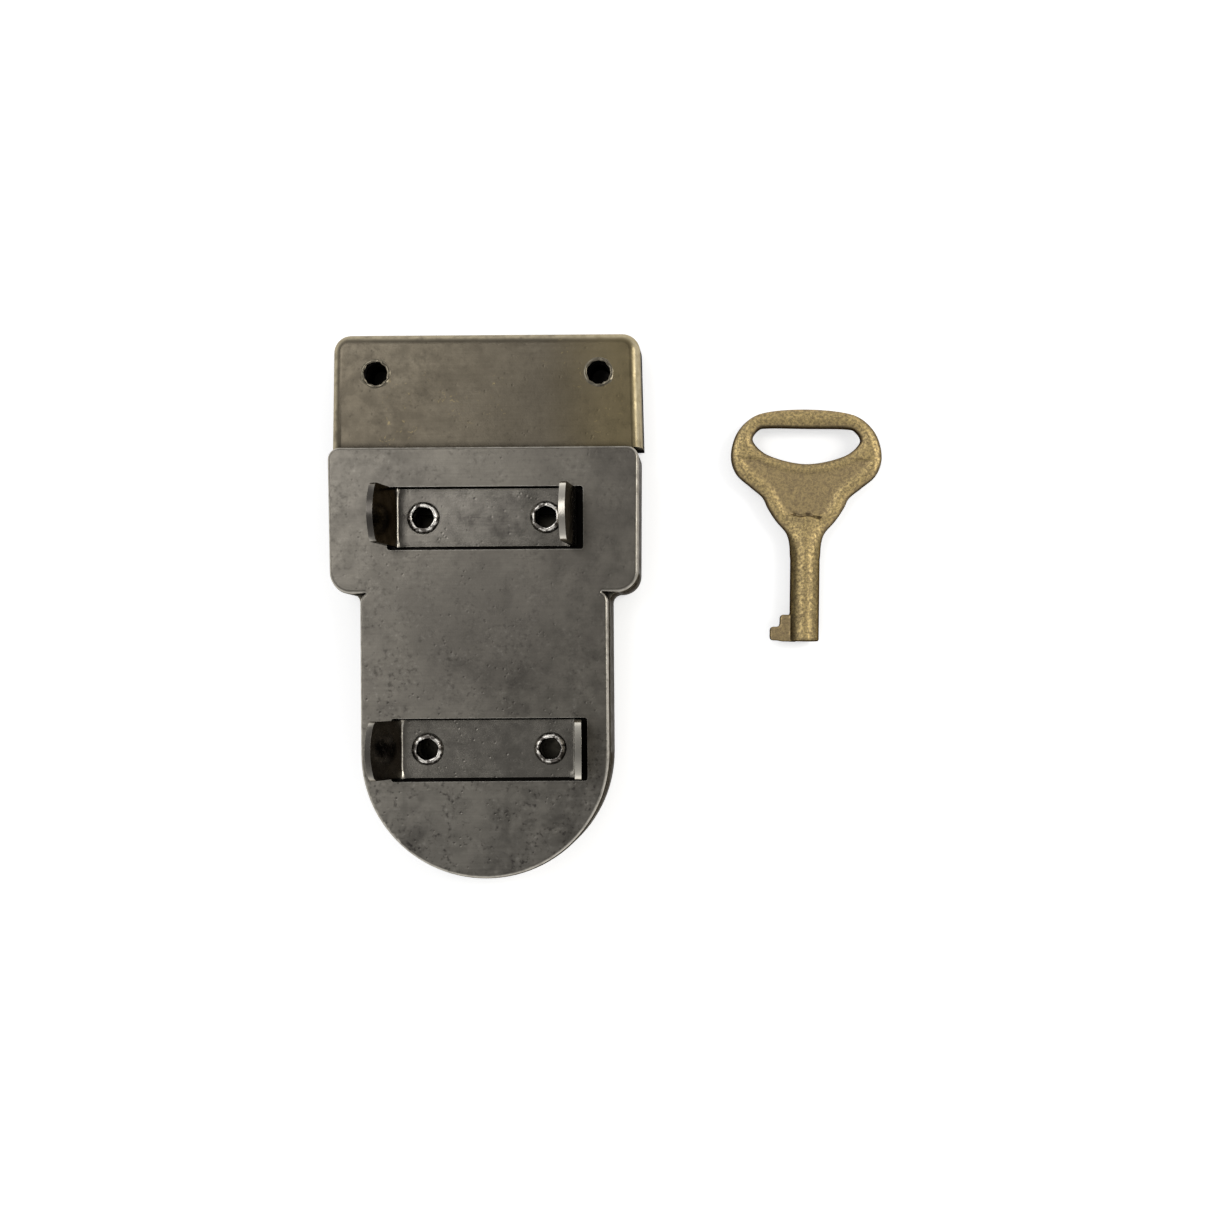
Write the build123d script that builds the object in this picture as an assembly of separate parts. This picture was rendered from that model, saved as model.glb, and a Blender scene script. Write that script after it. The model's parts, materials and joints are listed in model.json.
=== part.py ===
from build123d import *
import math
import os

# Bag tuck lock, lying on its front, with its key beside it. Millimetres. The origin is on the lock
# case's front face, at the centre of its half-round lower end. +X runs to the key, +Y to the flap
# clasp, +Z to the back of the lock.

CLEARANCE = 0.05

# Lock case and backing plate: a wide collar over a narrower part with a half-round end.
LOWER_RADIUS = 15.94
CASE_LOWER_RADIUS = 16.1
COLLAR_WIDTH = 40.0
COLLAR_FOOT_WIDTH = 39.6
COLLAR_BOTTOM = 20.7
COLLAR_TOP = 39.5
COLLAR_TOP_RADIUS = 1.6
COLLAR_FOOT_RADIUS = 2.5
PLATE_FOOT_RADIUS = 2.8
INNER_CORNER_RADIUS = 1.1
CASE_HEIGHT = 6.5
CASE_EDGE_RADIUS = 0.7
CASE_FRONT = 1.0
CASE_WALL = 1.4
RABBET_WALL = 0.8
BASE_THICKNESS = 0.8
LIP_HEIGHT = 0.4
LIP_WIDTH = 0.9
BASE_TOP = CASE_HEIGHT - LIP_HEIGHT
BASE_BOTTOM = BASE_TOP - BASE_THICKNESS
PLATE_THICKNESS = 1.0
PLATE_TOP = CASE_HEIGHT + PLATE_THICKNESS
SHOULDER_RADIUS = 1.4
PLATE_EDGE_RADIUS = 0.45

# Prong brackets, in the backing plate's two windows.
STRIP_WIDTH = 7.4
STRIP_THICKNESS = 0.8
STRIP_TOP = BASE_TOP + STRIP_THICKNESS
PRONG_LENGTH = 8.3
PRONG_CROWN = 1.05
PRONG_CORNER_RADIUS = 0.5
BEND_RADIUS = 1.0
BEND_INNER_RADIUS = 0.3
WINDOW_LENGTH = 25.2
WINDOW_WIDTH = 8.1
WINDOW_CORNER_RADIUS = 0.35
WINDOW_SIDE_SHIFT = 0.12
WINDOW_FOOT_SHIFT = 0.12
UPPER_CENTRE = (0.1, 30.4)
LOWER_CENTRE = (0.45, 0.65)
UPPER_SPAN = 23.9
LOWER_SPAN = 23.6
UPPER_LEANS = (9.8, -5.4)
LOWER_LEANS = (16.6, 6.0)
EYELET_OFFSET = 7.9
EYELET_BORE = 1.4
EYELET_BARREL = 1.8
EYELET_RIM = 2.18
EYELET_FLANGE = 2.1
EYELET_FLANGE_HEIGHT = 0.5
EYELET_ROLL = 0.3
EYELET_FLANGE_EDGE = 0.2

# Flap clasp: two shells around the leather, which enters from +Y.
FLAP_FOOT = COLLAR_TOP + 0.1
FLAP_TOP = 54.5
FLAP_CENTRE = 0.15
FLAP_FOOT_HALF = 20.2
FLAP_TOP_HALF = 19.9
FLAP_CORNER = 2.3
FLAP_WALL = 0.9
FLAP_FRONT_TOP = 3.3
FLAP_BACK_BOTTOM = 4.2
FLAP_BACK_WALL = 0.8
FLAP_HEIGHT = 5.7
FLAP_BACK_EDGE_RADIUS = 1.4
FLAP_FRONT_EDGE_RADIUS = 0.7
SCREW_XS = (-14.15, 14.75)
SCREW_Y = 49.3
SCREW_HOLE = 1.65
POST_RADIUS = 2.4
POST_BORE = 1.25
POST_FLOOR = 0.4

# Staple tongue: a fork whose right leg is notched for the bolt.
TONGUE_BOTTOM = 3.3
TONGUE_THICKNESS = 1.2
TONGUE_HALF = 13.5
FORK_HALF = 9.0
FORK_END = 15.5
FORK_ROOT = 31.0
TONGUE_REAR = 45.5
MOUTH_SLACK = 0.2
TONGUE_RIVET_X = 8.0
TONGUE_RIVET_Y = 42.6
TONGUE_RIVET = 1.1
SPACER_RADIUS = 2.0
RIVET_HEAD_RADIUS = 1.8
RIVET_HEAD_HEIGHT = 0.35

# Bolt, in the same plane as the tongue, and what guides it.
BOLT_LEFT = -8.6
BOLT_RIGHT = 5.6
BOLT_BOTTOM = 16.0
BOLT_TOP = 25.2
NOSE_END = 8.6
NOSE_BOTTOM = 19.0
NOSE_TOP = 23.2
NOTCH_SLACK = 0.2
THROW = 3.2
STUD_XS = (-2.6, 4.2)
STUD_Y = 21.8
STUD_RADIUS = 0.8
STUD_SLACK = 0.07
STUD_HEAD = 1.3
STUD_HEAD_HEIGHT = 0.4
STUD_END_SLACK = 0.15
SPIGOT_RADIUS = 0.6
KEY_POST_SPIGOT_RADIUS = 1.1
TALON_LEFT = -3.25
TALON_WIDTH = 3.3
TALON_DEPTH = 1.2
SPRING_THICKNESS = 0.35
SPRING_WIDTH = 0.8
SPRING_EYE = (-4.6, 28.4)
SPRING_POST = 0.9
SPRING_TOUCH = 0.03

# Keyhole and key. The barrel slips over the post and the bit's step passes inside the ward ring.
KEYHOLE_Y = 12.2
BARREL_RADIUS = 1.95
BARREL_BORE = 0.95
BARREL_BORE_DEPTH = 7.0
KEYHOLE_RADIUS = 2.05
BIT_REACH = 4.6
BIT_STEP_REACH = 3.25
BIT_END_HEIGHT = 1.85
BIT_HEIGHT = 3.45
BIT_THICKNESS = 1.4
BIT_SLOT = 1.8
BUSH_RADIUS = 2.9
BUSH_FLANGE = 3.3
WARD_INNER = 3.5
WARD_OUTER = 4.3
WARD_TOP = 3.1
BIT_CORNER_RADIUS = 0.45
BOW_THICKNESS = 2.0
BOW_EDGE_RADIUS = 0.4
BOW_NECK = 13.8
SHANK_LENGTH = 15.5
KEY_X = 41.33
KEY_TIP_Y = 14.33
KEY_TURN = -1.1


def slab(sketch, bottom, top):
    """The sketch's outline as a solid from bottom to top."""
    return Pos(0, 0, bottom) * extrude(sketch, top - bottom)


def post(x, y, radius, bottom, top):
    """An upright round solid from bottom to top."""
    return Pos(x, y, (bottom + top) / 2) * Cylinder(radius, top - bottom)


def block(left, right, foot, head, bottom, top):
    """A box between its six faces."""
    centre = Pos((left + right) / 2, (foot + head) / 2, (bottom + top) / 2)
    return centre * Box(right - left, head - foot, top - bottom)


def write(name, *solids):
    """Writes one node, of one solid or of several alike."""
    shape = solids[0] if len(solids) == 1 else Compound(children=list(solids))
    export_step(shape, f"parts/{name}.step")


def collar_outline(inset, top_radius, foot_radius):
    """The collar, drawn in by inset, a little narrower at its foot, with rounded corners."""
    top_half = COLLAR_WIDTH / 2 - inset
    foot_half = COLLAR_FOOT_WIDTH / 2 - inset
    collar = Polygon(
        (-foot_half, COLLAR_BOTTOM + inset),
        (foot_half, COLLAR_BOTTOM + inset),
        (top_half, COLLAR_TOP - inset),
        (-top_half, COLLAR_TOP - inset),
        align=None,
    )
    collar = fillet(collar.vertices().group_by(Axis.Y)[-1], top_radius)
    return fillet(collar.vertices().group_by(Axis.Y)[0], foot_radius)


def case_outline(inset):
    """The case's outline, drawn in by inset, with rounded inner corners under the collar."""
    collar = collar_outline(inset, COLLAR_TOP_RADIUS, COLLAR_FOOT_RADIUS)
    radius = CASE_LOWER_RADIUS - inset
    stem_top = COLLAR_BOTTOM + inset + 1
    stem = Pos(0, stem_top / 2) * Rectangle(2 * radius, stem_top)
    outline = collar + stem + Circle(radius)
    corners = [
        v
        for v in outline.vertices()
        if abs(abs(v.X) - radius) < 0.01 and abs(v.Y - COLLAR_BOTTOM - inset) < 0.01
    ]
    return fillet(corners, INNER_CORNER_RADIUS)


def plate_outline():
    """The backing plate's outline. The lower part's rounded shoulders leave a notch under the collar."""
    collar = collar_outline(0, COLLAR_TOP_RADIUS, PLATE_FOOT_RADIUS)
    stem = Rectangle(2 * LOWER_RADIUS, COLLAR_BOTTOM + 0.2)
    stem = fillet(stem.vertices().group_by(Axis.Y)[-1], SHOULDER_RADIUS)
    stem = Pos(0, (COLLAR_BOTTOM + 0.2) / 2) * stem
    return collar + stem + Circle(LOWER_RADIUS)


def flap_outline(inset):
    """The flap clasp's outline, a little wider at the mouth than at its leather edge."""
    foot = FLAP_FOOT + inset
    top = FLAP_TOP - inset
    outline = Polygon(
        (-FLAP_FOOT_HALF + inset, foot),
        (FLAP_FOOT_HALF - inset, foot),
        (FLAP_TOP_HALF - inset, top),
        (-FLAP_TOP_HALF + inset, top),
        align=None,
    )
    outline = fillet(outline.vertices().group_by(Axis.Y)[-1], FLAP_CORNER - inset / 2)
    return Pos(FLAP_CENTRE, 0) * outline


def key_slot(bottom, top):
    """The slot that the key's bit passes through, running from the keyhole towards the round end."""
    return block(
        -BIT_SLOT / 2, BIT_SLOT / 2, KEYHOLE_Y - BIT_REACH - 0.2, KEYHOLE_Y, bottom, top
    )


def at_eyelets(centre):
    """The two places of one bracket's eyelets."""
    x, y = centre
    return [(x - EYELET_OFFSET, y), (x + EYELET_OFFSET, y)]


def case_front_shell():
    """Case front, walls, rabbet for the base plate and the lip that is crimped over it."""
    shell = slab(case_outline(0), 0, CASE_HEIGHT)
    front_edges = shell.edges().group_by(Axis.Z)[0]
    shell = fillet(front_edges, CASE_EDGE_RADIUS)
    shell -= slab(case_outline(CASE_WALL), CASE_FRONT, BASE_BOTTOM)
    shell -= slab(case_outline(RABBET_WALL), BASE_BOTTOM, BASE_TOP)
    shell -= slab(case_outline(RABBET_WALL + LIP_WIDTH), BASE_TOP, CASE_HEIGHT)
    mouth_half = TONGUE_HALF + MOUTH_SLACK
    tongue_top = TONGUE_BOTTOM + TONGUE_THICKNESS
    shell -= block(
        -mouth_half,
        mouth_half,
        COLLAR_TOP - CASE_WALL - 1,
        COLLAR_TOP + 1,
        TONGUE_BOTTOM - MOUTH_SLACK,
        tongue_top + MOUTH_SLACK,
    )
    shell -= post(0, KEYHOLE_Y, BUSH_RADIUS, -1, CASE_FRONT)
    return shell - key_slot(-1, CASE_FRONT)


def case_base_plate():
    """Plate that closes the case from behind, pierced for everything clinched into it."""
    plate = slab(case_outline(RABBET_WALL + CLEARANCE), BASE_BOTTOM, BASE_TOP)
    for x, y in at_eyelets(UPPER_CENTRE) + at_eyelets(LOWER_CENTRE):
        plate -= post(x, y, EYELET_BARREL, BASE_BOTTOM, BASE_TOP)
    spigots = [(x, STUD_Y) for x in STUD_XS] + [SPRING_EYE, (0, KEYHOLE_Y)]
    for x, y in spigots:
        plate -= post(x, y, spigot_radius(y), BASE_BOTTOM, BASE_TOP)
    return plate


def spigot_radius(y):
    """Studs and spring post end in slim spigots; the key post's is stouter."""
    return KEY_POST_SPIGOT_RADIUS if y == KEYHOLE_Y else SPIGOT_RADIUS


def back_plate():
    """T-shaped backing plate with a window round each bracket and softly rounded edges."""
    plate = slab(plate_outline(), CASE_HEIGHT, PLATE_TOP)
    plate = fillet(plate.edges().group_by(Axis.Z)[-1], PLATE_EDGE_RADIUS)
    for x, y in (UPPER_CENTRE, LOWER_CENTRE):
        window = RectangleRounded(WINDOW_LENGTH, WINDOW_WIDTH, WINDOW_CORNER_RADIUS)
        window = Pos(x + WINDOW_SIDE_SHIFT, y - WINDOW_FOOT_SHIFT) * window
        plate -= slab(window, CASE_HEIGHT, PLATE_TOP)
    return plate


def prong_line(side, base_x, lean):
    """Foot and tip, outer and inner, of one prong in the bracket's side view."""
    tilt = math.radians(lean)
    along = (side * math.sin(tilt), math.cos(tilt))
    across = (-side * math.cos(tilt), math.sin(tilt))
    outer_tip = (side * base_x + PRONG_LENGTH * along[0], BASE_TOP + PRONG_LENGTH * along[1])
    inner_tip = tuple(outer_tip[i] + STRIP_THICKNESS * across[i] for i in range(2))
    rise = (inner_tip[1] - STRIP_TOP) / along[1]
    inner_foot = (inner_tip[0] - rise * along[0], STRIP_TOP)
    return (side * base_x, BASE_TOP), outer_tip, inner_tip, inner_foot


def prong_outline(tip):
    """One prong seen from the bracket's end: straight sides, rounded corners and a crowned tip."""
    half = STRIP_WIDTH / 2
    foot = BASE_TOP - 1
    corner = tip - PRONG_CROWN
    outline = make_face(
        [
            Line((-half, foot), (half, foot)),
            Line((half, foot), (half, corner)),
            ThreePointArc((half, corner), (0, tip), (-half, corner)),
            Line((-half, corner), (-half, foot)),
        ]
    )
    corners = [v for v in outline.vertices() if v.Y > foot + 1]
    return fillet(corners, PRONG_CORNER_RADIUS)


def prong_bracket(centre, span, leans):
    """U-shaped strip: a flat web on the base plate and two prongs folded up, with crowned tips."""
    left = prong_line(-1, span / 2, leans[0])
    right = prong_line(1, span / 2, leans[1])
    side_view = Polygon(*left, *reversed(right), align=None)
    side_view = fillet(side_view.vertices().group_by(Axis.Y)[0], BEND_RADIUS)
    inner_corners = [v for v in side_view.vertices() if abs(v.Y - STRIP_TOP) < 0.001]
    side_view = fillet(inner_corners, BEND_INNER_RADIUS)
    bracket = extrude(Plane.XZ * side_view, STRIP_WIDTH / 2, both=True)
    left_tip, right_tip = (max(y for x, y in line) for line in (left, right))
    end_view = extrude(Plane.YZ * prong_outline(left_tip), -span)
    end_view += extrude(Plane.YZ * prong_outline(right_tip), span)
    bracket = Pos(*centre) * (bracket & end_view)
    for x, y in at_eyelets(centre):
        bracket -= post(x, y, EYELET_BARREL, BASE_TOP - 1, STRIP_TOP + 1)
    return bracket


def eyelet(x, y):
    """Tubular rivet: rolled rim on the strip, barrel through it, clinched flange in the case."""
    flange_bottom = BASE_BOTTOM - EYELET_FLANGE_HEIGHT
    section = Polygon(
        (EYELET_BORE, flange_bottom),
        (EYELET_FLANGE, flange_bottom),
        (EYELET_FLANGE, BASE_BOTTOM),
        (EYELET_BARREL, BASE_BOTTOM),
        (EYELET_BARREL, STRIP_TOP),
        (EYELET_RIM, STRIP_TOP),
        (EYELET_RIM, PLATE_TOP),
        (EYELET_BORE, PLATE_TOP),
        align=None,
    )
    section = fillet(section.vertices().group_by(Axis.Y)[-1], EYELET_ROLL)
    section = fillet(section.vertices().group_by(Axis.Y)[0], EYELET_FLANGE_EDGE)
    return Pos(x, y) * revolve(Plane.XZ * section, Axis.Z)


def flap_back_shell():
    """Flap clasp's back: shallow tray on the two posts, rounded but for its edge at the mouth."""
    shell = slab(flap_outline(0), FLAP_BACK_BOTTOM, FLAP_HEIGHT)
    rim = [e for e in shell.edges().group_by(Axis.Z)[-1] if e.center().Y > FLAP_FOOT + 0.5]
    shell = fillet(rim, FLAP_BACK_EDGE_RADIUS)
    wall_bottom = FLAP_HEIGHT - FLAP_BACK_WALL
    shell -= slab(flap_outline(FLAP_WALL), FLAP_BACK_BOTTOM, wall_bottom)
    slot_half = TONGUE_HALF + MOUTH_SLACK
    tongue_top = TONGUE_BOTTOM + TONGUE_THICKNESS
    shell -= block(
        -slot_half,
        slot_half,
        FLAP_FOOT - 1,
        FLAP_FOOT + FLAP_WALL + 1,
        FLAP_BACK_BOTTOM - 1,
        tongue_top + MOUTH_SLACK,
    )
    for x in SCREW_XS:
        shell -= post(x, SCREW_Y, SCREW_HOLE, wall_bottom - 1, FLAP_HEIGHT + 1)
    return shell


def flap_front_shell():
    """Flap clasp's front: a tray with side and mouth skirts, open where the leather enters."""
    shell = slab(flap_outline(0), 0, FLAP_FRONT_TOP)
    shell = fillet(shell.edges().group_by(Axis.Z)[0], FLAP_FRONT_EDGE_RADIUS)
    inner_half = FLAP_TOP_HALF - FLAP_WALL
    shell -= block(
        -inner_half,
        inner_half,
        FLAP_FOOT + FLAP_WALL,
        FLAP_TOP + 1,
        CASE_FRONT,
        FLAP_FRONT_TOP,
    )
    return shell


def screw_post(x):
    """Tapped post on the clasp's front, drawn with the tapping bore's size."""
    wall_bottom = FLAP_HEIGHT - FLAP_BACK_WALL
    barrel = post(x, SCREW_Y, POST_RADIUS, CASE_FRONT, wall_bottom)
    return barrel - post(x, SCREW_Y, POST_BORE, CASE_FRONT + POST_FLOOR, wall_bottom + 1)


def staple_tongue():
    """Forked tongue, with chamfered leg ends and the bolt's notch in the right leg."""
    top = TONGUE_BOTTOM + TONGUE_THICKNESS
    tongue = block(-TONGUE_HALF, TONGUE_HALF, FORK_END, TONGUE_REAR, TONGUE_BOTTOM, top)
    tongue -= block(
        -FORK_HALF, FORK_HALF, FORK_END - 1, FORK_ROOT, TONGUE_BOTTOM - 1, top + 1
    )
    leg_ends = tongue.edges().filter_by(Axis.Z).group_by(Axis.Y)[0]
    tongue = chamfer(leg_ends, 1.2)
    tongue -= block(
        FORK_HALF - 1,
        NOSE_END + THROW + NOTCH_SLACK,
        NOSE_BOTTOM - NOTCH_SLACK,
        NOSE_TOP + NOTCH_SLACK,
        TONGUE_BOTTOM - 1,
        top + 1,
    )
    for x in (-TONGUE_RIVET_X, TONGUE_RIVET_X):
        tongue -= post(x, TONGUE_RIVET_Y, TONGUE_RIVET, TONGUE_BOTTOM - 1, top + 1)
    return tongue


def tongue_spacer(x):
    """Sleeve that carries the tongue at the mouth's height."""
    sleeve = post(x, TONGUE_RIVET_Y, SPACER_RADIUS, CASE_FRONT, TONGUE_BOTTOM)
    return sleeve - post(x, TONGUE_RIVET_Y, TONGUE_RIVET, CASE_FRONT, TONGUE_BOTTOM)


def tongue_rivet(x):
    """Rivet up from the clasp's front through spacer and tongue, with a flat head."""
    tongue_top = TONGUE_BOTTOM + TONGUE_THICKNESS
    shank = post(x, TONGUE_RIVET_Y, TONGUE_RIVET, CASE_FRONT, tongue_top)
    head_top = tongue_top + RIVET_HEAD_HEIGHT
    return shank + post(x, TONGUE_RIVET_Y, RIVET_HEAD_RADIUS, tongue_top, head_top)


def bolt():
    """Sliding plate, drawn back: nose to the right, two guide slots, talon for the key's bit."""
    top = TONGUE_BOTTOM + TONGUE_THICKNESS
    plate = block(BOLT_LEFT, BOLT_RIGHT, BOLT_BOTTOM, BOLT_TOP, TONGUE_BOTTOM, top)
    plate += block(BOLT_RIGHT, NOSE_END, NOSE_BOTTOM, NOSE_TOP, TONGUE_BOTTOM, top)
    slot_half = STUD_RADIUS + STUD_SLACK
    for x in STUD_XS:
        slot = SlotCenterToCenter(THROW, 2 * slot_half)
        cut = Pos(x - THROW / 2, STUD_Y) * slot
        plate -= slab(cut, TONGUE_BOTTOM - 1, top + 1)
    talon_right = TALON_LEFT + TALON_WIDTH
    talon_top = BOLT_BOTTOM + TALON_DEPTH
    plate -= block(
        TALON_LEFT, talon_right, BOLT_BOTTOM - 1, talon_top, TONGUE_BOTTOM - 1, top + 1
    )
    return plate


def guide_stud(x):
    """Headed stud clinched into the base plate, shouldered so that the bolt slides freely."""
    head_top = TONGUE_BOTTOM - STUD_END_SLACK
    shoulder = TONGUE_BOTTOM + TONGUE_THICKNESS + STUD_END_SLACK
    stud = post(x, STUD_Y, STUD_HEAD, head_top - STUD_HEAD_HEIGHT, head_top)
    stud += post(x, STUD_Y, STUD_RADIUS, head_top, shoulder)
    stud += post(x, STUD_Y, STUD_HEAD, shoulder, BASE_BOTTOM)
    return stud + post(x, STUD_Y, spigot_radius(STUD_Y), BASE_BOTTOM, BASE_TOP)


def spring_anchor():
    """Post that the leaf spring's eye is closed round."""
    x, y = SPRING_EYE
    body = post(x, y, SPRING_POST, TONGUE_BOTTOM - 0.1, BASE_BOTTOM)
    return body + post(x, y, spigot_radius(y), BASE_BOTTOM, BASE_TOP)


def bolt_spring():
    """Leaf spring: an eye on its post, a blade, and a bowed tip that bears on the bolt's edge."""
    x, y = SPRING_EYE
    eye_outer = SPRING_POST + SPRING_THICKNESS
    blade_y = y - SPRING_POST - SPRING_THICKNESS / 2
    bend = (2.2, BOLT_TOP + SPRING_THICKNESS / 2 + SPRING_TOUCH - 0.06)
    blade_path = FilletPolyline((x, blade_y), bend, (4.4, 26.6), radius=1.0)
    blade = trace(blade_path, line_width=SPRING_THICKNESS)
    section = blade + Pos(x, y) * Circle(eye_outer) - Pos(x, y) * Circle(SPRING_POST)
    middle = TONGUE_BOTTOM + TONGUE_THICKNESS / 2
    return slab(section, middle - SPRING_WIDTH / 2, middle + SPRING_WIDTH / 2)


def key_post():
    """Pin in the base plate that the key's barrel slips over."""
    pin = post(0, KEYHOLE_Y, BARREL_BORE - 0.15, CASE_FRONT, BASE_BOTTOM)
    return pin + post(0, KEYHOLE_Y, spigot_radius(KEYHOLE_Y), BASE_BOTTOM, BASE_TOP)


def keyhole_bush():
    """Flanged ring that lines the keyhole, cut by the bit's slot."""
    bush = post(0, KEYHOLE_Y, BUSH_RADIUS, 0, CASE_FRONT)
    bush += post(0, KEYHOLE_Y, BUSH_FLANGE, CASE_FRONT, CASE_FRONT + 0.35)
    bush -= post(0, KEYHOLE_Y, KEYHOLE_RADIUS, -1, CASE_FRONT + 1)
    return bush - key_slot(-1, CASE_FRONT + 1)


def ward_ring():
    """Ring inside the case's front that only a stepped bit can turn in."""
    ring = post(0, KEYHOLE_Y, WARD_OUTER, CASE_FRONT, WARD_TOP)
    ring -= post(0, KEYHOLE_Y, WARD_INNER, CASE_FRONT - 1, WARD_TOP + 1)
    return ring - key_slot(CASE_FRONT - 1, WARD_TOP + 1)


def mirrored_face(half, first, last):
    """A face between a smooth half outline, its mirror image in the key's axis and straight ends."""
    right = Spline(*half, tangents=[first, last])
    left = Spline(*[(-x, y) for x, y in half], tangents=[(-first[0], first[1]), (-last[0], last[1])])
    ends = [Line((-x, y), (x, y)) for x, y in (half[0], half[-1]) if x > 0]
    return make_face([edge for piece in (right, left, *ends) for edge in piece.edges()])


def bow_outline():
    """The bow: a broad rounded head that narrows over two soft shoulders into the shank."""
    head = [(0, 30.55), (4.5, 30.25), (7.2, 29.4), (9.2, 27.3), (9.96, 24.4), (9.25, 22.0)]
    shoulder = [(7.3, 20.25), (5.75, 18.95), (5.0, 17.5), (3.9, 15.85), (2.3, 14.0), (1.5, 12.4)]
    return mirrored_face(head + shoulder, (1, 0), (0, -1))


def bow_hole():
    """The finger hole, bowed below and flat above."""
    half = [(0, 23.35), (4.9, 24.4), (7.05, 26.3), (6.4, 27.75), (5.0, 28.1)]
    return mirrored_face(half, (1, 0), (-1, 0))


def key_shank():
    """Round shank along +Y from its tip, its end domed on the bow."""
    along = Plane.XZ.offset(-SHANK_LENGTH)
    shank = along * Pos(0, BARREL_RADIUS, 0) * Circle(BARREL_RADIUS)
    shank = extrude(shank, SHANK_LENGTH)
    return shank + Pos(0, SHANK_LENGTH, BARREL_RADIUS) * Sphere(BARREL_RADIUS)


def key_bit():
    """Flat bit at the tip, one step shorter above, with rounded outer corners."""
    low = BARREL_RADIUS - BIT_THICKNESS / 2
    high = BARREL_RADIUS + BIT_THICKNESS / 2
    bit = block(-BIT_REACH, 0, 0, BIT_END_HEIGHT, low, high)
    bit += block(-BIT_STEP_REACH, 0, BIT_END_HEIGHT, BIT_HEIGHT, low, high)
    return fillet(bit.edges().filter_by(Axis.Z).group_by(Axis.X)[0], BIT_CORNER_RADIUS)


def key():
    """Barrel key lying on its side: open bow with rounded edges, round shank, stepped bit."""
    bow_bottom = BARREL_RADIUS - BOW_THICKNESS / 2
    bow = slab(bow_outline() - bow_hole(), bow_bottom, bow_bottom + BOW_THICKNESS)
    flats = (bow.edges().group_by(Axis.Z)[-1], bow.edges().group_by(Axis.Z)[0])
    curves = [e for flat in flats for e in flat if e.center().Y > BOW_NECK]
    bow = fillet(curves, BOW_EDGE_RADIUS)
    bore = Plane.XZ.offset(-BARREL_BORE_DEPTH) * Pos(0, BARREL_RADIUS, 0) * Circle(BARREL_BORE)
    bore = extrude(bore, BARREL_BORE_DEPTH + 1)
    return Pos(KEY_X, KEY_TIP_Y) * Rot(0, 0, KEY_TURN) * (bow + key_shank() + key_bit() - bore)


os.makedirs("parts", exist_ok=True)
write("flap_back_shell", flap_back_shell())
write("flap_front_shell", flap_front_shell())
write("flap_screw_posts", *[screw_post(x) for x in SCREW_XS])
write("staple_tongue", staple_tongue())
rivet_xs = (-TONGUE_RIVET_X, TONGUE_RIVET_X)
write("tongue_spacers", *[tongue_spacer(x) for x in rivet_xs])
write("tongue_rivets", *[tongue_rivet(x) for x in rivet_xs])
write("case_front_shell", case_front_shell())
write("case_base_plate", case_base_plate())
write("back_plate", back_plate())
write("upper_prong_bracket", prong_bracket(UPPER_CENTRE, UPPER_SPAN, UPPER_LEANS))
write("lower_prong_bracket", prong_bracket(LOWER_CENTRE, LOWER_SPAN, LOWER_LEANS))
write("upper_eyelets", *[eyelet(x, y) for x, y in at_eyelets(UPPER_CENTRE)])
write("lower_eyelets", *[eyelet(x, y) for x, y in at_eyelets(LOWER_CENTRE)])
write("bolt", bolt())
write("bolt_guide_studs", *[guide_stud(x) for x in STUD_XS])
write("bolt_spring", bolt_spring())
write("spring_anchor", spring_anchor())
write("key_post", key_post())
write("keyhole_bush", keyhole_bush())
write("ward_ring", ward_ring())
write("key", key())
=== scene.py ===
import json
import math
import bpy
import bmesh
import numpy as np
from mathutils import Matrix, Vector


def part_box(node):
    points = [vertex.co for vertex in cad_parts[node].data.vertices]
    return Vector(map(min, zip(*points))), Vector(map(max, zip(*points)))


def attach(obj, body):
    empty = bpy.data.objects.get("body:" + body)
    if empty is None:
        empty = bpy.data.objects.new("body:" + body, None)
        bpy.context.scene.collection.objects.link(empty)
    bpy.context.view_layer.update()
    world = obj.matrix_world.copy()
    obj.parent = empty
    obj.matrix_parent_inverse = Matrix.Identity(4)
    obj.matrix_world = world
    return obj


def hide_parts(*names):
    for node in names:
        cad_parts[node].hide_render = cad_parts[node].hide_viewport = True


# A bag tuck lock lying face down on a white table, with its barrel key beside it. The scene is in
# metres. Sizes below are in millimetres, and become metres where a mesh is made.

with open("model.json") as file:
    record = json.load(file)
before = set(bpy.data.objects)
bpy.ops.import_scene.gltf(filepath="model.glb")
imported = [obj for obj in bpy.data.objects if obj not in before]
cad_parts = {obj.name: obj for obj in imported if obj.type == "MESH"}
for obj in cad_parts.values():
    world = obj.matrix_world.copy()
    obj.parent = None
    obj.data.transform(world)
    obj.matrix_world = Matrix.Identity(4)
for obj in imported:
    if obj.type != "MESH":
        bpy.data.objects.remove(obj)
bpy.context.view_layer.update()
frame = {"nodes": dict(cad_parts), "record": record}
MM = 0.001

# The brackets' side views, as the CAD bends them.
BASE_TOP = 6.1
STRIP_THICKNESS = 0.8
STRIP_WIDTH = 7.4
PRONG_LENGTH = 8.3
PRONG_CROWN = 1.05
BEND_RADIUS = 0.75
BRACKETS = {
    "upper_prong_bracket": {"span": 23.9, "leans": (9.8, -5.4)},
    "lower_prong_bracket": {"span": 23.6, "leans": (16.6, 6.0)},
}
EYELET_HOLE = 1.8

# The key, in its own frame: tip at the origin, shank along +Y, mid-plane at z = 0.
KEY_TURN = -1.1
KEY_LENGTH = 30.55
BARREL_RADIUS = 1.95
BARREL_BORE = 0.95
BARREL_BORE_DEPTH = 7.0
BOW_HALF_WIDTH = 9.98
BOW_HALF_THICKNESS = 1.0
LEDGE_Y = 16.5
KEY_STEP = 0.13


# ---------------------------------------------------------------- node helpers


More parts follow.
